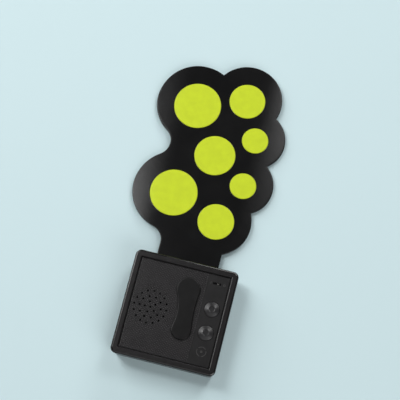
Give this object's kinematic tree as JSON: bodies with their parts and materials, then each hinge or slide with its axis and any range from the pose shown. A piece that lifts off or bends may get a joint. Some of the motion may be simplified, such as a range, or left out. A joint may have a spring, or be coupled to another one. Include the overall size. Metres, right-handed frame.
{
  "type": "electronic drum pad",
  "caption": "Flexible black touch sheet with round lime drum pads, on a square speaker case with a sound grille, a slide switch and push buttons.",
  "frame": {"origin": "centre of the speaker case's flat back face, which rests on the table", "axes": "+Y along the object from the speaker case to the drum sheet, +Z out of the front face, +X to the right seen from the front"},
  "size_m": [0.0907, 0.211, 0.0183],
  "materials": {
    "case_black": "moulded ABS, fine spark texture on the panel",
    "inner_black": "moulded plastic",
    "button_black": "satin moulded plastic",
    "knob_grey": "moulded plastic",
    "sheet_black": "satin vinyl",
    "pad_lime": "satin printed vinyl",
    "backing_black": "matt soft foam rubber",
    "film_clear": "polyester film",
    "carbon_ink": "screen-printed carbon",
    "steel": "nickel plated",
    "contact_brass": "plated spring strip",
    "board_green": "solder mask on glass fibre",
    "chip_black": "epoxy",
    "connector_white": "moulded nylon",
    "magnet_grey": "ferrite magnet",
    "cone_black": "pressed film cone",
    "foam_black": "foam ring",
    "wire_insulation": "soft insulation"
  },
  "bodies": {
    "case": {"front_cover": "case_black", "rear_case": "case_black", "case_screws": "steel", "strap_eyelet": "inner_black", "button_cells": "steel", "cell_contacts": "contact_brass", "circuit_board": "board_green", "board_screws": "steel", "sound_chip": "chip_black", "board_parts": "chip_black", "tail_connector": "connector_white", "slide_switch_body": "steel", "tact_switches": "inner_black", "speaker_frame": "steel", "speaker_magnet": "magnet_grey", "speaker_cone": "cone_black", "speaker_gasket": "foam_black", "speaker_wires": "wire_insulation", "battery_wire": "wire_insulation", "sheet_tail": "sheet_black", "membrane_tail": "film_clear", "neck_clamp_bar": "inner_black", "clamp_screws": "steel", "flex_neck": "sheet_black"},
    "door": {"battery_door": "case_black", "battery_door_screw": "steel", "door_contact": "contact_brass"},
    "switch_knob": {"slide_switch_knob": "knob_grey"},
    "button_far": {"button_far": "button_black"},
    "button_near": {"button_near": "button_black"},
    "sheet": {"pad_overlay": "sheet_black", "pad_spacer": "film_clear", "pad_circuit": "film_clear", "pad_backing": "backing_black"},
    "touch_pad_1": {"drum_pad_1": "pad_lime", "pad_contact_1": "carbon_ink"},
    "touch_pad_2": {"drum_pad_2": "pad_lime", "pad_contact_2": "carbon_ink"},
    "touch_pad_3": {"drum_pad_3": "pad_lime", "pad_contact_3": "carbon_ink"},
    "touch_pad_4": {"drum_pad_4": "pad_lime", "pad_contact_4": "carbon_ink"},
    "touch_pad_5": {"drum_pad_5": "pad_lime", "pad_contact_5": "carbon_ink"},
    "touch_pad_6": {"drum_pad_6": "pad_lime", "pad_contact_6": "carbon_ink"},
    "touch_pad_7": {"drum_pad_7": "pad_lime", "pad_contact_7": "carbon_ink"}
  },
  "joints": [
    {"name": "neck_flex", "type": "hinge", "parent": "case", "child": "sheet", "pos_m": [-0.0013, 0.0395, 0.0032], "axis": [1, 0, 0], "range_deg": [-45, 60], "stiffness_Nm_per_rad": 0.35, "deforming": ["flex_neck"]},
    {"name": "switch_slide", "type": "slide", "parent": "case", "child": "switch_knob", "axis": [1, 0, 0], "range_m": [-0.002, 0]},
    {"name": "door_lift", "type": "slide", "parent": "case", "child": "door", "axis": [0, 0, -1], "range_m": [0, 0.015]},
    {"name": "button_far_press", "type": "slide", "parent": "case", "child": "button_far", "axis": [0, 0, -1], "range_m": [0, 0.0008], "stiffness_N_per_m": 600},
    {"name": "button_near_press", "type": "slide", "parent": "case", "child": "button_near", "axis": [0, 0, -1], "range_m": [0, 0.0008], "stiffness_N_per_m": 600},
    {"name": "drum_pad_1_press", "type": "slide", "parent": "sheet", "child": "touch_pad_1", "axis": [0, 0, -1], "range_m": [0, 0.0004], "stiffness_N_per_m": 1500},
    {"name": "drum_pad_2_press", "type": "slide", "parent": "sheet", "child": "touch_pad_2", "axis": [0, 0, -1], "range_m": [0, 0.0004], "stiffness_N_per_m": 1500},
    {"name": "drum_pad_3_press", "type": "slide", "parent": "sheet", "child": "touch_pad_3", "axis": [0, 0, -1], "range_m": [0, 0.0004], "stiffness_N_per_m": 1500},
    {"name": "drum_pad_4_press", "type": "slide", "parent": "sheet", "child": "touch_pad_4", "axis": [0, 0, -1], "range_m": [0, 0.0004], "stiffness_N_per_m": 1500},
    {"name": "drum_pad_5_press", "type": "slide", "parent": "sheet", "child": "touch_pad_5", "axis": [0, 0, -1], "range_m": [0, 0.0004], "stiffness_N_per_m": 1500},
    {"name": "drum_pad_6_press", "type": "slide", "parent": "sheet", "child": "touch_pad_6", "axis": [0, 0, -1], "range_m": [0, 0.0004], "stiffness_N_per_m": 1500},
    {"name": "drum_pad_7_press", "type": "slide", "parent": "sheet", "child": "touch_pad_7", "axis": [0, 0, -1], "range_m": [0, 0.0004], "stiffness_N_per_m": 1500}
  ]
}
